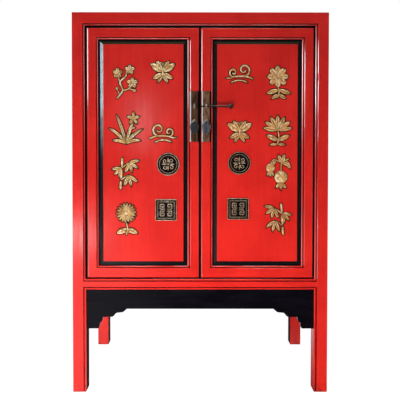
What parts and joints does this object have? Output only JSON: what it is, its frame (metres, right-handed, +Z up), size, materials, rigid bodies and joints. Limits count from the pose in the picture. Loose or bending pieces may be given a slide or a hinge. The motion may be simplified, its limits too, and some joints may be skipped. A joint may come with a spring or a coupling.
{
  "type": "two-door cabinet on legs",
  "caption": "Tall square-cornered cabinet on legs, lacquered wood, with two pivot doors, raised door panels with gilded plant relief, metal lock plates, drop pulls and a sliding bolt.",
  "frame": {"origin": "on the floor under the middle of the whole object, door furniture included", "axes": "+X to the right seen from the front, +Y from the doors to the back, +Z up"},
  "size_m": [1.06, 0.582, 1.578],
  "materials": {
    "red_lacquer": "rubbed red lacquer on wood, worn dark at edges and joints",
    "panel_lacquer": "red lacquer field with a black lacquered sloping margin",
    "black_lacquer": "black lacquer",
    "back_lacquer": "thin dark lacquer wash",
    "inner_wood": "stained wood",
    "gilding": "antique gold relief with dark edges",
    "patinated_brass": "brown patina",
    "dark_brass": "dark patina, rubbed on edges"
  },
  "bodies": {
    "case": {"post_front_left": "red_lacquer", "post_front_right": "red_lacquer", "post_back_left": "red_lacquer", "post_back_right": "red_lacquer", "top_rail_front": "red_lacquer", "top_rail_back": "red_lacquer", "top_rail_left": "red_lacquer", "top_rail_right": "red_lacquer", "bottom_rail_front": "red_lacquer", "bottom_rail_back": "red_lacquer", "bottom_rail_left": "red_lacquer", "bottom_rail_right": "red_lacquer", "side_panel_left": "red_lacquer", "side_panel_right": "red_lacquer", "top_panel": "red_lacquer", "apron_front": "black_lacquer", "apron_left": "black_lacquer", "apron_right": "black_lacquer", "back_panel_left": "back_lacquer", "back_panel_right": "back_lacquer", "back_muntin": "back_lacquer", "floor_panel": "inner_wood", "shelf_lower": "inner_wood", "shelf_upper": "inner_wood", "shelf_cleats_left": "inner_wood", "shelf_cleats_right": "inner_wood"},
    "door_left": {"door_left_hinge_stile": "red_lacquer", "door_left_meeting_stile": "red_lacquer", "door_left_top_rail": "red_lacquer", "door_left_bottom_rail": "red_lacquer", "door_left_panel": "panel_lacquer", "door_left_battens": "inner_wood", "door_left_round_plaque": "black_lacquer", "door_left_square_plaque": "black_lacquer", "door_left_relief": "gilding", "lock_plate_left": "patinated_brass", "bolt_eye_left": "dark_brass", "pull_boss_left": "dark_brass", "pull_ring_left": "dark_brass"},
    "door_right": {"door_right_hinge_stile": "red_lacquer", "door_right_meeting_stile": "red_lacquer", "door_right_top_rail": "red_lacquer", "door_right_bottom_rail": "red_lacquer", "door_right_panel": "panel_lacquer", "door_right_battens": "inner_wood", "door_right_round_plaque": "black_lacquer", "door_right_square_plaque": "black_lacquer", "door_right_relief": "gilding", "lock_plate_right": "patinated_brass", "bolt_eye_right": "dark_brass", "pull_boss_right": "dark_brass", "pull_ring_right": "dark_brass"},
    "pull_left": {"pull_left": "dark_brass"},
    "pull_right": {"pull_right": "dark_brass"},
    "bolt": {"bolt": "dark_brass"}
  },
  "joints": [
    {"name": "door_left_swing", "type": "hinge", "parent": "case", "child": "door_left", "pos_m": [-0.449, -0.253, 0.475], "axis": [0, 0, -1], "range_deg": [0, 110]},
    {"name": "door_right_swing", "type": "hinge", "parent": "case", "child": "door_right", "pos_m": [0.449, -0.253, 0.475], "axis": [0, 0, 1], "range_deg": [0, 110]},
    {"name": "bolt_slide", "type": "slide", "parent": "door_right", "child": "bolt", "axis": [1, 0, 0], "range_m": [-0.063, 0]},
    {"name": "pull_left_swing", "type": "hinge", "parent": "door_left", "child": "pull_left", "pos_m": [-0.0245, -0.2822, 1.125], "axis": [-1, 0, 0], "range_deg": [0, 100]},
    {"name": "pull_right_swing", "type": "hinge", "parent": "door_right", "child": "pull_right", "pos_m": [0.0245, -0.2822, 1.125], "axis": [-1, 0, 0], "range_deg": [0, 100]}
  ]
}
